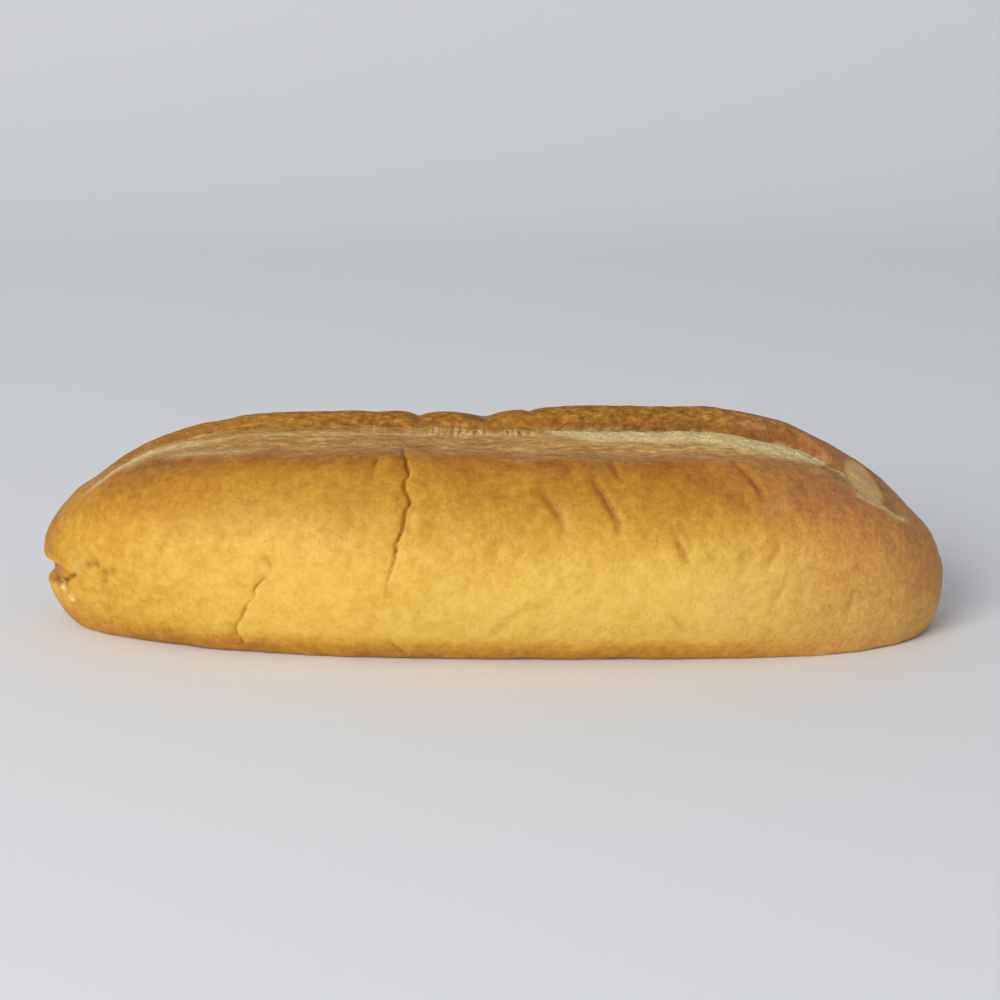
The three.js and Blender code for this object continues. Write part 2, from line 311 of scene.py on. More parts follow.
def keyed(pairs, s):
    """A size along the loaf: a smooth step from each (place, size) to the next."""
    size = pairs[0][1]
    for (low, _), (high, value) in zip(pairs, pairs[1:]):
        size = size + (value - size) * smooth(low, high, s)
    return size


def placed(*coordinates):
    """Points, from an array for each coordinate, or a number that all of them share."""
    return np.stack(np.broadcast_arrays(*coordinates), -1)


def cell_hash(cell, seed):
    """A fixed number from 0 to 1 for each whole-number cell (..., 3): its coordinates, multiplied by large
    primes, added, and their bits stirred twice."""
    h = (cell[..., 0] * 374761393 + cell[..., 1] * 668265263 + cell[..., 2] * 362437) & 0xFFFFFFFF
    h = ((h + seed * 974711) ^ (h >> 13)) * 1274126177 & 0xFFFFFFFF
    h = ((h ^ (h >> 16)) * 1103515245 + 12345) & 0xFFFFFFFF
    return ((h ^ (h >> 15)) & 0xFFFFFF) / float(0xFFFFFF)


def turned(points, seed):
    """The points turned about a skew axis by an angle of the seed's own, so that no lattice shows."""
    a, b = 0.9 + 1.7 * seed, 0.5 + 2.3 * seed
    about_z = np.array(((cos(a), -sin(a), 0), (sin(a), cos(a), 0), (0, 0, 1)))
    about_x = np.array(((1, 0, 0), (0, cos(b), -sin(b)), (0, sin(b), cos(b))))
    return points @ (about_z @ about_x).T


def noise(points, size, seed):
    """Value noise from about -1 to 1: random heights at the corners of cubes of this size, blended by a
    fifth-power step."""
    q = turned(points, seed) / size
    cell = np.floor(q).astype(np.int64)
    f = q - cell
    f = f**3 * (f * (f * 6 - 15) + 10)
    total = 0
    for corner in product((0, 1), repeat=3):
        weight = np.prod(np.where(corner, f, 1 - f), axis=-1)
        total = total + weight * cell_hash(cell + np.array(corner), seed)
    return 2.6 * (total - 0.5)


def fractal(points, size, seed, octaves=3):
    """Noise at this size, plus half as much at half the size, and so on."""
    return sum(noise(points, size / 2**k, seed + k) / 2**k for k in range(octaves))


def pits(points, size, seed, share):
    """Round pits from 0 to 1: this share of the cubes of a lattice holds one, at a random place and width."""
    q = turned(points, seed) / size
    home = np.floor(q).astype(np.int64)
    deepest = np.zeros(q.shape[:-1])
    for offset in product((-1, 0, 1), repeat=3):
        cell = home + np.array(offset)
        centre = cell + np.stack([cell_hash(cell, seed + 11 * k) for k in (1, 2, 3)], -1)
        radius = 0.25 + 0.4 * cell_hash(cell, seed + 44)
        away = np.linalg.norm(q - centre, axis=-1) / radius
        held = cell_hash(cell, seed + 55) < share
        deepest = np.maximum(deepest, np.clip(1 - away**2, 0, 1) ** 1.5 * held)
    return deepest


def along_only(x, seed):
    """Points on a line, so that a noise on them changes along the loaf only."""
    return placed(x, 7.3 * seed, 3.1)


# --------------------------------------------------------------------------------------------- the loaf
def closing(s, ends):
    """1 along the middle, falling to 0 at the tip as a superellipse quarter: (1 - d^p)^(1/p), where d is how
    far into the end's reach the place lies."""
    reach = np.where(s < 0, ends[0][0], ends[1][0])
    power = np.where(s < 0, ends[0][1], ends[1][1])
    d = np.clip((np.abs(s) - (1 - reach)) / reach, 0, 1)
    return np.maximum(0, 1 - d**power) ** (1 / power)


def body_radii(s):
    """The waist's height and the radii to the side, up and down at s."""
    tip = np.where(s < 0, TIP_HEIGHT[0], TIP_HEIGHT[1])
    waist = WAIST + (tip - WAIST) * np.abs(s) ** TIP_DROP_POWER
    side = WIDTH / 2 * closing(s, PLAN_END)
    return waist, side, (CROWN - waist) * closing(s, CROWN_END), UNDERSIDE * closing(s, UNDERSIDE_END)


def section(s, angle):
    """A point of the cross-section at s: a superellipse in polar form, whose radius is
    (|cos|^n + |sin|^n)^(-1/n), taller above the waist than below it. Angle 0 is the front, pi the back."""
    waist, side, up, down = body_radii(s)
    c, sn = np.cos(angle), np.sin(angle)
    radius = (np.abs(c) ** SECTION_POWER + np.abs(sn) ** SECTION_POWER) ** (-1 / SECTION_POWER)
    return -side * radius * c, waist + radius * sn * np.where(sn > 0, up, down)


def root_place(s):
    """How far behind the middle plane the slash's root runs at s."""
    return keyed(ROOT_PLACE, s) + np.sin(s * LENGTH / 2 / ROOT_WAVE * 2 * pi)


def root_angle(s):
    """The section's angle at the slash's root."""
    _, side, _, _ = body_radii(s)
    across = np.clip(root_place(s) / side, -0.9, 0.9)
    height = (1 - np.abs(across) ** SECTION_POWER) ** (1 / SECTION_POWER)
    return np.arctan2(height, -across)


def row_shares(rows):
    """Shares of the way from the root to the middle of the base, from lists of (length, number of rows)."""
    lengths = np.cumsum([0] + [length for length, _ in rows])
    numbers = np.cumsum([0] + [number for _, number in rows])
    return np.interp(np.arange(numbers[-1] + 1), numbers, lengths) / lengths[-1]


def stations():
    """Places of the columns: evenly spread, crowded towards the tips as the sine of an even angle is, and
    crowded around each followed crack by the step of a hyperbolic tangent."""
    s = np.linspace(-1, 1, STATION_SAMPLES)
    weight = (1 - TIP_CROWDING) * s + TIP_CROWDING * np.arcsin(s)
    for k in FOLLOWED:
        middle = np.mean([x for x, _, _ in CRACKS[k][0]]) * 2 / LENGTH
        weight = weight + CRACK_CROWDING[0] * np.tanh((s - middle) / CRACK_CROWDING[1])
    even = np.linspace(weight[0], weight[-1], COLUMNS + 1)[1:-1]
    return np.interp(even, weight, s)


def dome_grid():
    """The body's grid, columns by rows: place s, y, z, and w, the distance behind the root over the skin. A
    column's rows run from the middle of the base over the front, the top and the back, at fixed shares of
    the way to the root on either side."""
    s = stations()[:, None]
    table = np.linspace(-pi / 2, 3 * pi / 2, SECTION_SAMPLES)[None, :]
    y, z = section(s, table)
    gone = np.cumsum(np.hypot(np.diff(y, axis=1), np.diff(z, axis=1)), axis=1)
    gone = np.concatenate([np.zeros_like(s), gone], axis=1)
    column = np.arange(len(s))[:, None]
    lift, turn = column * 1000.0, column * 10.0  # set the columns apart, so one interpolation does them all
    flat_table = (table + turn).ravel()
    flat_gone = (gone + lift).ravel()
    at_root = np.interp((root_angle(s) + turn).ravel(), flat_table, flat_gone)[:, None] - lift
    whole = gone[:, -1:]
    front = at_root * (1 - row_shares(FRONT_ROWS)[::-1][None, :-1])
    back = at_root + (whole - at_root) * row_shares(BACK_ROWS)[None, :-1]
    rows = np.concatenate([front, back], axis=1)
    angle = np.interp((rows + lift).ravel(), flat_gone, flat_table).reshape(rows.shape) - turn
    y, z = section(s, angle)
    return np.broadcast_to(s, y.shape).copy(), y, z, rows - at_root


def follow(s, y, z, w):
    """The grid with its columns pulled sideways so that one of them runs along each followed crack. A column
    moves by the crack's bend, fading with its distance from the crack and beyond the crack's ends."""
    x = s * LENGTH / 2
    moved = x.copy()
    for k in FOLLOWED:
        path = np.array(CRACKS[k][0], float)
        middle = path[:, 0].mean()
        bend = np.interp(-w, path[:, 1], path[:, 0]) - middle
        beyond = np.maximum(path[0, 1] + w, -w - path[-1, 1])
        near = smooth(FOLLOW_REACH, 0, np.abs(x - middle))
        moved += bend * near * smooth(FOLLOW_FADE, 0, beyond)
    columns = s[:, 0]
    out = [moved * 2 / LENGTH]
    for values in (y, z, w):
        rows = [np.interp(out[0][:, j], columns, values[:, j]) for j in range(values.shape[1])]
        out.append(np.stack(rows, axis=1))
    return out


def path_field(places, path, strengths=None):
    """Distance to a path, and the strength at its nearest point. Two coordinates give a signed distance,
    positive to the right of the path."""
    path = np.array(path, float)
    nearest, side, strength = (np.full(places.shape[:-1], value) for value in (1e9, 1.0, 1.0))
    for k, (start, end) in enumerate(zip(path, path[1:])):
        off, leg = places - start, end - start
        t = np.clip((off @ leg) / (leg @ leg), 0, 1)
        away = np.linalg.norm(off - t[..., None] * leg, axis=-1)
        closer = away < nearest
        nearest = np.where(closer, away, nearest)
        if strengths is not None:
            side = np.where(closer, np.sign(off[..., 0] * leg[1] - off[..., 1] * leg[0]), side)
            strength = np.where(closer, strengths[k] + t * (strengths[k + 1] - strengths[k]), strength)
    return nearest * side, strength


Slash = namedtuple("Slash", "bloom sink lip notch overhang under face hanging")


def slash_sizes(s):
    """The slash's sizes at s: the bloom's width and sink, the lip's rise, the notches' depth, the lip's ragged
    overhang, the place of its toothed lower edge, the width of its face, and how fully it hangs over."""
    x = s * LENGTH / 2
    lip = keyed(LIP_RISE, s)
    strength = np.clip(lip, 0, 1)
    notch = 0.2 * np.maximum(0, noise(along_only(x, 1), 14, 31))
    for at, depth, left, right in NOTCHES:
        notch = notch + depth * np.exp(-np.abs(x - at) / np.where(x < at, left, right))
    rag = 1 + 0.14 * noise(along_only(x, 3), 9, 33) + 0.06 * noise(along_only(x, 4), 2.2, 34)
    teeth = 0.2 * noise(along_only(x, 8), 2.6, 38) + 0.3 * noise(along_only(x, 9), 6, 39)
    hangs = smooth(*LIP_HANGS, lip)
    return Slash(
        bloom=keyed(BLOOM_WIDTH, s) + 1.6 * noise(along_only(x, 5), 17, 35) * strength,
        sink=keyed(BLOOM_SINK, s),
        lip=lip,
        notch=notch * strength,
        overhang=LIP_OVERHANG * rag * hangs,
        under=keyed(LIP_UNDERSIDE, s) + teeth * hangs,
        face=keyed(LIP_FACE, s),
        hanging=np.clip(rag * hangs, 0, 1),
    )


def slash_shape(s, w, slash):
    """How far the skin moves out and forward at the distance w behind the root, and how far up the lip it
    lies, from 0 to 1. In front of the root the skin sinks by the bloom, whose middle swells back up. Behind it
    comes the lip's low underside, then its face as a quarter ellipse, which stands forward over the root, and
    then the lip dies away down the back. Where the lip doesn't stand up, its face is a smooth step instead."""
    step = slash.lip + slash.sink
    above = w - slash.under
    behind = np.maximum(w - LIP_SHOULDER, 0)
    crease = slash.notch * smooth(-0.5, LIP_SHOULDER, w) * bell(behind, NOTCH_BACK)
    inside = smooth(-slash.bloom - BLOOM_EDGE, -slash.bloom + BLOOM_EDGE, w)
    swell = BLOOM_SWELL * np.sin(pi * np.clip(-w / slash.bloom, 0, 1))
    standing = keyed(LIP_STANDING, s)
    undercut = standing * (UNDERCUT_LEAST + (1 - UNDERCUT_LEAST) * slash.hanging)
    undercut = undercut * np.clip(slash.lip / 2, 0, 1) * bell(w - np.minimum(slash.under, 0), UNDERCUT_WIDTH)
    front = -slash.sink * inside * (1 - swell) - undercut
    t = np.clip(above / slash.face, 0, 1)
    low = LOWEST_FACE * slash.hanging
    upright = np.sqrt(t * (2 - t)) * (1 - low) + low * smooth(0, 1, w / np.maximum(slash.under, 0.3))
    rise = upright * standing + smooth(-SOFT_LIP_START, 1.3 * slash.face, w) * (1 - standing)
    back = (-slash.sink + step * rise) * bell(behind, LIP_BACK) - undercut
    out = np.where(w > 0, back, front + step * rise) - crease
    forward = slash.overhang * smooth(-OVERHANG_START, 0, above) * bell(np.maximum(above, 0), OVERHANG_REACH)
    return out, forward, rise


def grid_normals(points):
    """Unit normals of a grid of points: the cross product of its two directions' differences. Rows wrap."""
    along = np.gradient(points, axis=0)
    around = np.roll(points, -1, axis=1) - np.roll(points, 1, axis=1)
    normals = np.cross(along, around)
    return normals / np.maximum(np.linalg.norm(normals, axis=-1, keepdims=True), TINY)


def crust_relief(points, s, w):
    """Relief of the baked skin, in millimetres: noise of falling sizes, pits and bumps, wrinkles that run down
    the front, and creases where a bent noise crosses zero."""
    down = placed(s * LENGTH / 2, w / 4.0, points[..., 2] / 9.0)
    relief = WRINKLE_HEIGHT * noise(down, 6.5, 21) * smooth(-0.5, 0.3, noise(points, 40, 22))
    for height, size, seed in SKIN_NOISE:
        relief += height * noise(points, size, seed)
    for height, size, seed, share in SKIN_PITS:
        relief += height * pits(points, size, seed, share)
    bent = points + 2.5 * placed(*(noise(points, 9, k) for k in (23, 24, 25)))
    for depth, size, seed, sharpness, where_size, where_seed, where_step in SKIN_CREASES:
        crease = (1 - np.minimum(1, np.abs(noise(bent, size, seed)) * sharpness)) ** 2
        relief -= depth * crease * smooth(*where_step, noise(points, where_size, where_seed))
    return relief


def crumb_relief(points, x, w):
    """Relief of the torn crumb: fibres drawn out along the loaf, small open pores and a few larger holes. The
    second value is where the pores are."""
    pores = pits(points, 2.6, 63, 0.3)
    holes = pits(points * (0.6, 1, 1), 5.5, 64, 0.1)
    fibres = fractal(placed(x / 3.5, w, points[..., 2]), 2.2, 41, 2)
    return 0.3 * fibres - 0.5 * pores - 0.9 * holes, np.maximum(pores, holes)


def burst_relief(points, x, w):
    """Relief of the burst crust on the lip: drawn-out clods and holes between them, and the holes' place."""
    holes = pits(points * (0.7, 1, 1), 2.8, 82, 0.35)
    clods = fractal(placed(x / 2, w, points[..., 2]), 2.4, 81, 2)
    return 0.3 * clods - 0.5 * holes, holes


def strand_relief(x, w):
    """Strands of crumb drawn out from the bloom up to the lip, under the lip's middle, and their place."""
    across = placed(x, w / 7.0, 0)
    zone = stepped(x, STRANDS_X) * stepped(w, STRANDS_W) * smooth(-1.0, 0.3, noise(across, 9, 92))
    return 0.24 * zone * (1 - np.abs(noise(across, 1.5, 91))), zone


def crack_relief(x, down):
    """Relief, shade and painted side light of the cracks. Across its path a crack falls away as a bell, with
    painted shade along it, and the skin to its left dips towards it and is painted darker as painted shade.
    The skin to its right stands up behind a soft step and sinks back over some millimetres, and is painted
    paler as a painted highlight. The followed cracks' edges are rough. Dents are bells."""
    relief, shade, bake = np.zeros(x.shape), np.zeros(x.shape), np.zeros(x.shape)
    dip, dip_reach = CRACK_DIP
    for k, (path, depth, width, raised) in enumerate(CRACKS):
        path = np.array(path, float)
        wander = CRACK_WANDER * noise(along_only(down, 70 + k), 2.2, 70 + k) * (width < 1)
        d, strength = path_field(placed(x + wander, down), path[:, :2], path[:, 2])
        right = smooth(0, 1.5 * width, d) * np.exp(-np.maximum(d, 0) / CRACK_STEP) * strength
        left = smooth(1, -1, d) * np.exp(np.minimum(d, 0) / dip_reach) * strength
        across = bell(d, width) * strength
        relief += raised * (right - dip * left) - depth * across
        if k in FOLLOWED:
            relief += 0.35 * noise(placed(x, down, 0), 1.9, 94) * bell(d - 0.6, 2.0) * strength
        # painted shade on the dipped left side, a painted highlight on the lifted right side
        bake += raised * (0.12 * left - 0.16 * right)
        darkness = next(dark for limit, dark in CRACK_DARKNESS if width < limit)
        shade = np.maximum(shade, across * np.clip(depth / 1.4, 0, 1) * darkness)
    for (at, under), depth, long, tall in DENTS:
        relief -= depth * bell(np.hypot((x - at) / long, (down - under) / tall), 1)
    return relief, shade, bake


def pale_line_relief(x, w, ragged, crumbly):
    """Relief and strength of the pale lines: each is a ragged bell across its path, with crumbly bumps."""
    relief, cream_and_highlight = np.zeros(x.shape), np.zeros(x.shape)
    for path, width in PALE_LINES:
        path = np.array(path, float)
        d, strength = path_field(placed(x, -w), path[:, :2], path[:, 2])
        line = strength * bell(np.abs(d) + 0.25 * width * ragged, width)
        relief += (0.25 + 0.3 * crumbly) * line
        cream_and_highlight = np.maximum(cream_and_highlight, line)
    return relief, cream_and_highlight


def torn_tip_relief(points, x, crumbly):
    """Relief of the torn left tip, and where it is torn, bared to the crumb, and a flap. Tears and pits are
    frayed bells, the bared crumb is bumpy, and the flap between the tears sinks in behind a low rim."""
    relief, tear, bared = np.zeros(x.shape), np.zeros(x.shape), np.zeros(x.shape)
    for path, depth, width in TEARS:
        across = bell(np.abs(path_field(points, path)[0] + 0.25 * noise(points, 1.6, 83)), width)
        relief -= depth * across
        tear = np.maximum(tear, across)
    for place, depth, radius in TIP_PITS:
        hole = bell(np.linalg.norm(points - place, axis=-1) + 0.3 * noise(points, 1.8, 86), radius)
        relief -= depth * hole
        tear = np.maximum(tear, 0.55 * hole)
    for centre, radius in BARED:
        away = np.linalg.norm(points - centre, axis=-1) + 1.2 * noise(points, 2.5, 84)
        bared = np.maximum(bared, smooth(radius + 0.8, radius - 0.8, away))
    relief += bared * (0.2 + 0.5 * crumbly)
    low, high = FLAP
    rough = points[..., 2] + 0.5 * noise(points, 3.5, 89)
    flap = smooth(low, low + 1.6, rough) * smooth(high, high - 1.0, rough)
    flap = flap * smooth(*FLAP_X, x) * smooth(*FLAP_Y, points[..., 1])
    rim, above, width = FLAP_RIM
    relief += rim * bell(points[..., 2] - high - above, width) * smooth(-156, -162, x)
    relief -= FLAP_SINK * flap * smooth(-154, -162.5, x)
    return relief, tear, bared, flap


def smooth_loaf(s, y, z, w, slash):
    """The loaf without its relief, and how far up the lip each point lies. The dome's points move out along
    their normals and forward along the skin by the slash's shape. The right tip is rounded by a power of the
    distance to it, and the foot by the logarithm of 1 plus e to the height."""
    back_y, back_z = np.gradient(y, axis=1), np.gradient(z, axis=1)
    step = np.maximum(np.hypot(back_y, back_z), TINY)
    back_y, back_z = back_y / step, back_z / step
    out, forward, rise = slash_shape(s, w, slash)
    gap = LENGTH / 2 - s * LENGTH / 2
    blunt = BLUNT_REACH * np.clip(gap / BLUNT_REACH, 0, 1) ** BLUNT_POWER
    x = LENGTH / 2 - np.where(gap < BLUNT_REACH, blunt, gap)
    y = y - back_z * out - back_y * forward
    z = z + back_y * out - back_z * forward
    pressed = FOOT_PRESS * smooth(FOOT_TOP, 0, z)
    z = np.maximum(FOOT_ROUND * np.logaddexp(0, z / FOOT_ROUND) - pressed, 0)
    return placed(x, y, z), rise


def slash_zones(s, x, w, slash, ragged):
    """Where pale crumb, torn tan bloom, burst crust and the smooth patch show, each from 0 to 1: products of
    smooth steps along the loaf and across the slash, whose edges a drawn-out noise makes ragged."""

    def streak(distance, row):
        """A ragged bell across the slash."""
        strength, place, width, raggedness, steps = row
        return strength * bell(distance + place + raggedness * ragged, width) * stepped(s, steps)

    in_front = smooth(slash.under + 0.3, slash.under - 0.6, w)
    width = keyed(CRUMB_WIDTH, s)
    crumb = smooth(-width - 4, -width + 3, w + 2.5 * noise(placed(x / 4, w, 0), 4.0, 51))
    crumb = crumb * in_front * smooth(0, 3, width)
    crumb = crumb * (1 - 0.6 * smooth(0.5, 0.95, -w / np.maximum(width, 1)))
    thin = 0.27 * smooth(-slash.bloom - 1, -slash.bloom + 4, w) * in_front * stepped(s, THIN_CRUMB)
    crumb = np.max([crumb, thin, streak(w, MIDDLE_STREAK), streak(w + slash.bloom, EDGE_STREAK)], axis=0)
    (patch_x, patch_down), (long, wide) = PATCH
    patch = smooth(1.15, 0.8, np.hypot((x - patch_x) / long, (w + patch_down) / wide))
    edge = -slash.bloom + 1.5 * noise(placed(x / 2, w, 0), 5.0, 52)
    # The tan runs on 12 mm in front of the bloom's edge, over the shoulder: there it is partly pale crust and
    # partly a painted grey sheen.
    torn = smooth(edge - 12, edge + 3, w) * in_front * keyed(BLOOM_TAN, s) * (1 - patch)
    left = stepped(s, BURST_LEFT) * smooth(-11, 3, w + 2 * ragged) * smooth(15, 9, w + ragged)
    left = left * (1 - 0.4 * smooth(-0.2, -0.6, s))
    right = stepped(s, BURST_RIGHT) * smooth(-0.2, 0.5, w - slash.under) * smooth(12, 6, w + ragged)
    right = right * (1 - 0.6 * smooth(0.6, 0.74, s))
    burst = np.maximum(left, right) * (1 - patch) * stepped(s, BURST)
    return crumb, torn, burst, patch


def skin_bake(points, up, s, x, w, slash, patch):
    """How dark the crust is baked: the rows of steps, more on the shoulder in front of the bloom, at the right
    end and behind the lip's edge, and the blushes as bells."""
    height = points[..., 2]
    facing_up = smooth(*FACING_UP, up)

    def rows(table):
        """The sum of the rows of a table."""
        return sum(more * stepped(s, along) * stepped(height, upwards) for more, along, upwards in table)

    bake = BAKE_LEAST + rows(BAKED) + BAKE_FACING_UP * facing_up
    more, away, width, steps = BAKE_SHOULDER
    bake += more * bell(w + slash.bloom + away, width) * stepped(s, steps)
    more, along, heights = BAKE_RIGHT_END
    bake += more * smooth(*along, s) * (1 - 0.5 * facing_up) * (0.5 + 0.5 * smooth(*heights, height))
    more, reach = BAKE_BEHIND
    for less, along in (BEHIND_LEFT, BEHIND_RIGHT):
        more = more - less * smooth(*along, s)
    behind = more * smooth(reach, 0, w + 6 * noise(points, 15, 93)) * stepped(s, BEHIND)
    bake += BAKE_PATCH * patch
    more, reach = BAKE_BACK
    bake = np.where(w > slash.under, np.maximum(bake, behind), bake) + more * smooth(*reach, w)
    bake += rows(BAKED_LOW_LEFT)
    for (at, up_at), (long, tall), more in BLUSHES:
        bake += more * bell(np.hypot((x - at) / long, (height - up_at) / tall), 1)
    return bake


def loaf_skin():
    """The whole skin: points (columns, rows, 3) in millimetres, and the values painted on them."""
    s, y, z, w = follow(*dome_grid())
    x = s * LENGTH / 2
    slash = slash_sizes(s)
    points, rise = smooth_loaf(s, y, z, w, slash)
    normals = grid_normals(points)
    ragged = noise(placed(x / 4, w, 0), 3.0, 53)
    crumbly = fractal(points, 1.8, 85, 2)
    crumb, torn, burst, patch = slash_zones(s, x, w, slash, ragged)
    open_crumb = np.maximum(crumb, 0.7 * torn)

    relief, crack_shade, crack_side_shading = crack_relief(x, -w)
    line_relief, cream_and_highlight = pale_line_relief(x, w, ragged, crumbly)
    tip_relief, tear, bared, flap = torn_tip_relief(points, x, crumbly)
    strand_bumps, strand = strand_relief(x, w)
    crumb_bumps, pores = crumb_relief(points, x, w)
    clods, holes = burst_relief(points, x, w)
    # A dark band along the lip's lower edge on the right: partly charred crust, partly painted shade along the
    # step.
    charred_and_shaded = bell(w - slash.under - 0.6 + 0.7 * noise(points, 2.4, 95), 1.1) * stepped(s, CHARRED_AND_SHADED)
    rim = bell(w + slash.bloom + 1.0, 1.4) * smooth(-0.2, 0.7, noise(along_only(x, 6), 12, 36))
    relief += line_relief + tip_relief + strand_bumps - PATCH_SINK * patch - DARK_EDGE_SINK * charred_and_shaded
    relief += crust_relief(points, s, w) * (1 - SKIN_LOST * np.maximum(open_crumb, burst))
    relief += crumb_bumps * open_crumb + clods * burst * (1 - 0.6 * smooth(4, 8, w))
    relief += RIM_HEIGHT * rim * smooth(0, 1.2, slash.sink)
    points += normals * relief[..., None]
    points[..., 2] = np.maximum(points[..., 2], 0)

    bake = skin_bake(points, normals[..., 2], s, x, w, slash, patch)
    bake += crack_side_shading + BAKE_FLAP * flap + BAKE_TEAR * tear * (1 - bared) + BAKE_BARED * bared
    under_lip = smooth(-1.2, 0.2, w) * smooth(slash.under + 0.8, slash.under, w) * slash.hanging
    # The lip's lower edge, where it hangs over, is painted dark: partly scorched crust, partly painted shade
    # from the overhang.
    scorched_and_shaded = smooth(slash.under - 1.0, slash.under - 0.3, w + 0.4 * noise(points, 1.8, 90)) * slash.hanging
    scorched_and_shaded = scorched_and_shaded * smooth(0.38, 0.16, rise + 0.16 * noise(points, 2.0, 87))
    scorched_and_shaded = scorched_and_shaded * smooth(-0.8, 0.0, noise(points, 4.5, 88))
    hollows = (
        crack_shade, PORE_SHADE * pores * open_crumb, HOLE_SHADE * holes * burst,
        CHAR_SHADE * charred_and_shaded, TEAR_SHADE * tear, UNDER_LIP_SHADE * under_lip,
    )
    values = {
        "bake": bake,
        "crumb": crumb,
        "cream_and_highlight": np.max([cream_and_highlight, 0.35 * patch, 0.6 * bared], axis=0),
        "torn": torn * (1 - 0.6 * crumb),
        "burst": burst,
        "shade": np.max(hollows, axis=0),
        "burn_and_shade": SCORCH_AND_SHADE * scorched_and_shaded * (0.4 + 0.6 * smooth(0.1, 0.3, s)),
        "strand": strand,
        "dull": smooth(*DULL, s),
    }
    return points, values


# ------------------------------------------------------------------------------------------------ meshes
def mesh_piece(name, points, faces, material, values=()):
    """A smooth mesh object at the origin, from points in millimetres, with its painted values."""
    mesh = bpy.data.meshes.new(name)
    mesh.from_pydata((points * MM).tolist(), [], faces)
    for key, value in dict(values).items():
        layer = mesh.attributes.new(key, "FLOAT", "POINT")
        layer.data.foreach_set("value", value.astype(np.float32))
    mesh.shade_smooth()
    mesh.materials.append(material)
    piece = bpy.data.objects.new(name, mesh)
    bpy.context.scene.collection.objects.link(piece)
    return piece


def closed_grid(points, values):
    """The grid as one closed skin: quads between the columns, with wrapping rows, and a fan of triangles to
    the middle of each end's ring."""
    columns, rows, _ = points.shape
    at = np.arange(columns * rows).reshape(columns, rows)
    here, there = at[:-1], at[1:]
    quads = np.stack([here, there, np.roll(there, -1, 1), np.roll(here, -1, 1)], -1).reshape(-1, 4)
    tips = np.array([columns * rows, columns * rows + 1])
    left = np.stack([np.full(rows, tips[0]), at[0], np.roll(at[0], -1)], -1)
    right = np.stack([np.full(rows, tips[1]), np.roll(at[-1], -1), at[-1]], -1)
    ends = np.stack([points[0].mean(0), points[-1].mean(0)])
    ends[:, 0] += (-TIP_BULGE, TIP_BULGE)
    flat = np.concatenate([points.reshape(-1, 3), ends])
    filled = {key: np.append(v.ravel(), [v[0].mean(), v[-1].mean()]) for key, v in values.items()}
    return flat, quads.tolist() + left.tolist() + right.tolist(), filled


# --------------------------------------------------------------------------------------------- materials
# Colours are given from 0 to 255. In a scale, each stands behind the value that picks it.
CRUST = (
    (0.0, (232, 194, 96)), (0.2, (222, 178, 74)), (0.4, (206, 152, 50)),
    (0.6, (184, 126, 34)), (0.8, (156, 98, 24)), (1.0, (124, 72, 20)),
)
TAN = ((0.28, (148, 106, 54)), (0.44, (172, 128, 68)), (0.58, (188, 146, 82)), (0.74, (214, 180, 114)))
BURST_CRUST = ((0.3, (112, 68, 16)), (0.42, (146, 94, 26)), (0.56, (172, 118, 38)), (0.72, (208, 158, 72)))
PALE = ((0.3, (192, 158, 92)), (0.45, (220, 196, 130)), (0.65, (238, 220, 164)))
YELLOW = ((0.36, (158, 110, 48)), (0.48, (212, 168, 90)), (0.62, (242, 210, 140)))
THIN_PALE = (222, 184, 106)
PALE_DOTS = (240, 204, 132)
DULL_CRUST = (212, 142, 110)
DULL_BURST = (180, 134, 110)
# the lip's dark lower edge: partly burnt crust, partly painted shade
SHADE = (128, 76, 16)
BURN_AND_SHADE = (92, 54, 10)

# The crust's mottles, as (size, strength), in millimetres.
MOTTLES = ((36.0, 0.1), (11.0, 0.15), (4.5, 0.26))
# How the edge of each painted zone is drawn: the values that turn 0 and 1, and how ragged it is between them.
EDGES = {
    "torn": (0.1, 0.95, 2.0),
    "burst": (0.15, 0.85, 3.0),
    "crumb": (0.15, 0.85, 4.0),
    "shade": (0.0, 1.0, 1.5),
    "burn_and_shade": (0.15, 0.85, 3.0),
}


def tone(red, green, blue):
    """A colour given from 0 to 255, as the light values that the shaders take."""
    c = np.array((red, green, blue)) / 255
    linear = np.where(c <= 0.04045, c / 12.92, ((c + 0.055) / 1.055) ** 2.4)
    return (*linear.tolist(), 1.0)


def add(tree, kind, inputs=(), **settings):
    """A node of this kind with its settings made and its inputs set or linked."""
    node = tree.nodes.new(kind)
    for key, value in settings.items():
        setattr(node, key, value)
    for key, value in dict(inputs).items():
        if isinstance(value, bpy.types.NodeSocket):
            tree.links.new(value, node.inputs[key])
        else:
            node.inputs[key].default_value = value
    return node


def math(tree, operation, *values, clamp=False):
    """The result of a Math node."""
    node = add(tree, "ShaderNodeMath", dict(enumerate(values)), operation=operation, use_clamp=clamp)
    return node.outputs[0]


def mixed(tree, share, one, other, most=1.0):
    """The colour between two colours at this share, times the most that it may be."""
    if most < 1.0:
        share = math(tree, "MULTIPLY", share, most)
    return add(tree, "ShaderNodeMix", {0: share, 6: one, 7: other}, data_type="RGBA").outputs[2]


def painted(tree, name):
    """A value painted on the mesh."""
    return add(tree, "ShaderNodeAttribute", attribute_name=name).outputs["Fac"]


def new_group(name, inputs, outputs):
    """An empty shader node group with float inputs, each as (name, default), and named float outputs."""
    tree = bpy.data.node_groups.new(name, "ShaderNodeTree")
    for label, default in inputs:
        socket = tree.interface.new_socket(label, in_out="INPUT", socket_type="NodeSocketFloat")
        socket.default_value = default
    for label in outputs:
        tree.interface.new_socket(label, in_out="OUTPUT", socket_type="NodeSocketFloat")
    return tree, tree.nodes.new("NodeGroupInput"), tree.nodes.new("NodeGroupOutput")


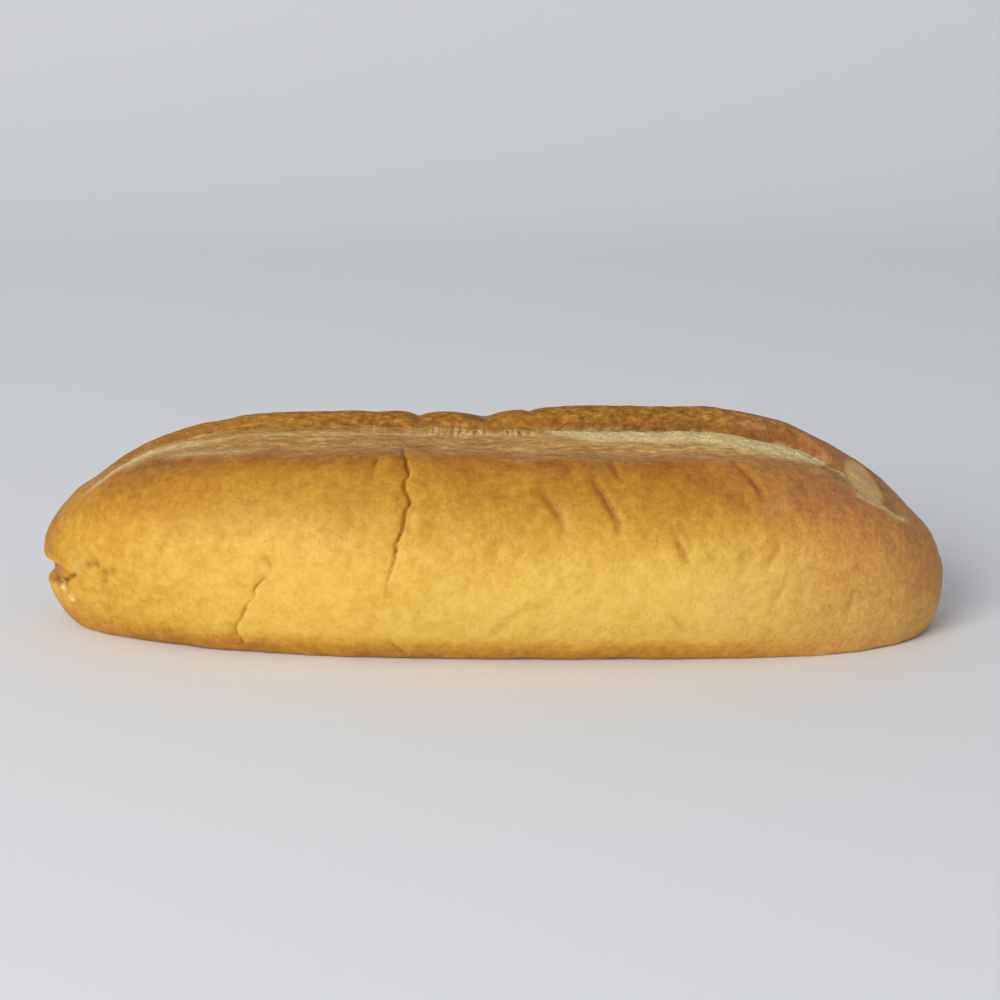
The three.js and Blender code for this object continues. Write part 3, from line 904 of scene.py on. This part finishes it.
def mottle_group():
    """Mottle: soft blotches about 0, from noise of three scales, the given one, a half and a fifth of it."""
    tree, given, result = new_group("mottle", (("Blotch", 20.0), ("Strength", 1.0)), ("Value",))
    place = add(tree, "ShaderNodeTexCoord").outputs["Object"]
    total = 0.0
    for times, share in ((1, 0.5), (2, 0.32), (5, 0.18)):
        scale = math(tree, "DIVIDE", 1000.0 * times, given.outputs["Blotch"])
        settings = {"Vector": place, "Scale": scale, "Detail": 1.5, "Roughness": 0.5}
        centred = math(tree, "SUBTRACT", add(tree, "ShaderNodeTexNoise", settings).outputs["Fac"], 0.5)
        total = math(tree, "MULTIPLY_ADD", centred, 2 * share, total)
    tree.links.new(math(tree, "MULTIPLY", total, given.outputs["Strength"]), result.inputs["Value"])
    return tree


def speck_group():
    """Specks: small round dots from 0 to 1, one in some of the cells of this size in millimetres."""
    tree, given, result = new_group("specks", (("Cell", 4.0), ("Radius", 0.18), ("Share", 0.3)), ("Value",))
    place = add(tree, "ShaderNodeTexCoord").outputs["Object"]
    scale = math(tree, "DIVIDE", 1000.0, given.outputs["Cell"])
    cells = add(tree, "ShaderNodeTexVoronoi", {"Vector": place, "Scale": scale})
    near = math(tree, "DIVIDE", cells.outputs["Distance"], given.outputs["Radius"])
    dot = math(tree, "SUBTRACT", 1.0, near, clamp=True)
    chosen = add(tree, "ShaderNodeSeparateColor", {"Color": cells.outputs["Color"]}).outputs["Red"]
    held = math(tree, "LESS_THAN", chosen, given.outputs["Share"])
    tree.links.new(math(tree, "MULTIPLY", dot, held), result.inputs["Value"])
    return tree


def use(tree, group, **inputs):
    """The value of a shared group placed in this tree."""
    node = tree.nodes.new("ShaderNodeGroup")
    node.node_tree = group
    for key, value in inputs.items():
        node.inputs[key].default_value = value
    return node.outputs["Value"]


def ramp(tree, share, stops):
    """A colour ramp with these (place, colour) stops."""
    node = tree.nodes.new("ShaderNodeValToRGB")
    tree.links.new(share, node.inputs["Fac"])
    elements = node.color_ramp.elements
    while len(elements) < len(stops):
        elements.new(0.5)
    for element, (place, colour) in zip(elements, stops):
        element.position = place
        element.color = tone(*colour)
    return node.outputs["Color"]


def new_material(name):
    """An empty material with its surface shader, and its tree."""
    material = bpy.data.materials.new(name)
    material.use_nodes = True
    return material, material.node_tree, material.node_tree.nodes["Principled BSDF"]


def stretched(tree, place, size, along, detail, shift=0.0):
    """Noise of this size in millimetres, drawn out along the loaf by this factor and shifted by metres."""
    settings = {"Vector": place, "Scale": (1 / along, 1.0, 1.0), "Location": (shift, 0, 0)}
    drawn = add(tree, "ShaderNodeMapping", settings).outputs[0]
    settings = {"Vector": drawn, "Scale": 1000 / size, "Detail": detail, "Roughness": 0.6}
    return add(tree, "ShaderNodeTexNoise", settings).outputs["Fac"]


def strand_noise(tree, place):
    """Noise that changes fast along the loaf and hardly across it, as pulled strands do."""
    lines = add(tree, "ShaderNodeMapping", {"Vector": place, "Scale": (1.0, 0.12, 0.12)}).outputs[0]
    return add(tree, "ShaderNodeTexNoise", {"Vector": lines, "Scale": 700.0, "Detail": 2.0}).outputs["Fac"]


def edged(tree, name, ragged):
    """A painted zone with a ragged edge: the value, plus noise times value times (1 - value), so that the
    noise counts most where the value is a half, drawn out to 0 and 1 at the zone's two limits."""
    low, high, raggedness = EDGES[name]
    value = painted(tree, name)
    rest = math(tree, "MULTIPLY_ADD", value, -raggedness, raggedness)
    doubt = math(tree, "MULTIPLY", value, rest)
    value = math(tree, "MULTIPLY_ADD", ragged, doubt, value)
    return add(tree, "ShaderNodeMapRange", {"Value": value, "From Min": low, "From Max": high}).outputs[0]


def bread_material(mottle, specks):
    """Baked skin, burst crust, torn bloom and crumb in one finish, blended by the painted values."""
    material, tree, shader = new_material("bread_crust")
    place = add(tree, "ShaderNodeTexCoord").outputs["Object"]
    dull = painted(tree, "dull")
    pores = use(tree, specks, Cell=1.9, Radius=0.26, Share=0.3)
    pale_dots = use(tree, specks, Cell=3.0, Radius=0.2, Share=0.14)
    leather = use(tree, mottle, Blotch=2.6, Strength=1.0)
    grit = use(tree, mottle, Blotch=2.4, Strength=0.25)
    fibres = stretched(tree, place, size=1.2, along=2.6, detail=3.0)
    bands = stretched(tree, place, size=3.4, along=4.0, detail=2.0, shift=3.7)
    clods = stretched(tree, place, size=1.8, along=1.6, detail=4.0, shift=0.7)
    grains = stretched(tree, place, size=1.1, along=1.0, detail=3.0, shift=1.3)
    ragged = stretched(tree, place, size=1.9, along=2.6, detail=3.0, shift=2.1)
    ragged = math(tree, "MULTIPLY_ADD", ragged, 2.0, -1.0)
    torn, burst, crumb, shade, burn_and_shade = (
        edged(tree, name, ragged) for name in ("torn", "burst", "crumb", "shade", "burn_and_shade")
    )

    bake = math(tree, "MULTIPLY_ADD", pores, 0.16, painted(tree, "bake"))
    for blotch, strength in MOTTLES:
        bake = math(tree, "ADD", bake, use(tree, mottle, Blotch=blotch, Strength=strength))
    bake = math(tree, "MULTIPLY_ADD", grit, math(tree, "ADD", dull, 0.4), bake)
    crust = mixed(tree, dull, ramp(tree, bake, CRUST), tone(*DULL_CRUST), most=0.26)
    crust = mixed(tree, pale_dots, crust, tone(*PALE_DOTS), most=0.4)
    tan = ramp(tree, math(tree, "ADD", fibres, math(tree, "MULTIPLY_ADD", bands, 0.8, -0.4)), TAN)
    burst_crust = mixed(tree, dull, ramp(tree, clods, BURST_CRUST), tone(*DULL_BURST), most=0.35)
    pale = ramp(tree, grains, PALE)
    yellow = ramp(tree, strand_noise(tree, place), YELLOW)

    colour = mixed(tree, torn, crust, tan)
    colour = mixed(tree, burst, colour, burst_crust, most=0.9)
    settings = {"Value": painted(tree, "crumb"), "From Min": 0.3, "From Max": 0.8}
    thick = add(tree, "ShaderNodeMapRange", settings).outputs[0]
    colour = mixed(tree, crumb, colour, mixed(tree, thick, tone(*THIN_PALE), pale))
    colour = mixed(tree, painted(tree, "strand"), colour, yellow, most=0.8)
    # pale lines, the patch and bared crumb, and one painted highlight along a crease
    colour = mixed(tree, painted(tree, "cream_and_highlight"), colour, pale)
    colour = mixed(tree, shade, colour, tone(*SHADE))
    # the lip's dark lower edge, partly burnt crust and partly painted shade under the overhang
    colour = mixed(tree, burn_and_shade, colour, tone(*BURN_AND_SHADE), most=0.75)
    tree.links.new(colour, shader.inputs["Base Color"])

    opened = math(tree, "MAXIMUM", math(tree, "MAXIMUM", crumb, torn), burst)
    rough = math(tree, "MULTIPLY_ADD", leather, 0.25, 0.54)
    rough = math(tree, "MULTIPLY_ADD", opened, 0.25, rough, clamp=True)
    tree.links.new(rough, shader.inputs["Roughness"])
    height = math(tree, "MULTIPLY_ADD", pores, -0.35, math(tree, "MULTIPLY", leather, 0.5))
    for zone, field, depth in ((torn, fibres, 1.3), (burst, clods, 1.8), (crumb, grains, 0.9)):
        bumps = math(tree, "MULTIPLY", math(tree, "MULTIPLY", zone, field), depth)
        height = math(tree, "ADD", height, bumps)
    bump = add(tree, "ShaderNodeBump", {"Height": height, "Strength": 0.7, "Distance": 0.0006})
    tree.links.new(bump.outputs["Normal"], shader.inputs["Normal"])
    shader.inputs["Specular IOR Level"].default_value = 0.25
    shader.inputs["Subsurface Weight"].default_value = 0.1
    shader.inputs["Subsurface Radius"].default_value = (1.0, 0.45, 0.15)
    shader.inputs["Subsurface Scale"].default_value = 0.002
    return material


# ------------------------------------------------------------------------------------------ the loaf's piece
mottle = mottle_group()
specks = speck_group()
bread = bread_material(mottle, specks)
skin_points, skin_values = loaf_skin()
skin_points, skin_faces, skin_values = closed_grid(skin_points, skin_values)
loaf = mesh_piece("loaf_skin", skin_points, skin_faces, bread, skin_values)
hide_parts("loaf")
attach(loaf, "root")


# -------------------------------------------------------------------------------------- floor, light, camera
def backdrop():
    """A pale floor that curves up into a backdrop by a quarter circle."""
    material, _, shader = new_material("studio_cloth")
    shader.inputs["Base Color"].default_value = tone(234, 235, 237)
    shader.inputs["Roughness"].default_value = 0.9
    reach, start, bend = 2500, 900, 500  # of the floor, of the backdrop, and the radius between them, in mm
    across = np.linspace(-reach, reach, 3)
    turn = np.linspace(0, pi / 2, 13)
    back = np.concatenate([[-reach], start + bend * np.sin(turn), [start + bend]])
    rise = np.concatenate([[0], bend - bend * np.cos(turn), [reach]])
    grid = placed(across[:, None], back[None, :], rise[None, :])
    columns, rows, _ = grid.shape
    at = np.arange(columns * rows).reshape(columns, rows)
    quads = np.stack([at[:-1, :-1], at[1:, :-1], at[1:, 1:], at[:-1, 1:]], -1).reshape(-1, 4)
    mesh_piece("studio_backdrop", grid.reshape(-1, 3), quads.tolist(), material)


def aim(thing, azimuth, elevation, distance, target):
    """Puts a thing on a sphere about its target, in degrees and metres, and turns it to look there. Azimuth 0
    looks along +Y."""
    a, e = radians(azimuth), radians(elevation)
    away = Vector((sin(a) * cos(e), -cos(a) * cos(e), sin(e)))
    thing.location = Vector(target) + away * distance
    thing.rotation_euler = (-away).to_track_quat("-Z", "Y").to_euler()
    bpy.context.scene.collection.objects.link(thing)


def area_light(name, size, power, colour):
    """A square light."""
    data = bpy.data.lights.new(name, "AREA")
    data.size = size
    data.energy = power
    data.color = colour
    return bpy.data.objects.new(name, data)


def lens_camera(lens, film=36):
    """A camera with this lens and film width."""
    data = bpy.data.cameras.new("camera")
    data.lens = lens
    data.sensor_width = film
    return bpy.data.objects.new("camera", data)


def pale_room(colour, strength):
    """An even light from all sides."""
    world = bpy.data.worlds.new("pale_room")
    world.use_nodes = True
    background = world.node_tree.nodes["Background"]
    background.inputs["Color"].default_value = colour
    background.inputs["Strength"].default_value = strength
    return world


backdrop()
key = area_light("key", size=1.3, power=51, colour=(1.0, 0.985, 0.96))
aim(key, azimuth=-30, elevation=26, distance=2.5, target=(0, 0, 0.04))
bpy.context.scene.world = pale_room(colour=(0.80, 0.84, 0.90, 1), strength=0.42)
bpy.context.scene.view_settings.view_transform = "Standard"
camera = lens_camera(lens=80)
aim(camera, azimuth=1, elevation=15, distance=0.8140, target=(0.0024, 0, 0.0457))
bpy.context.scene.camera = camera
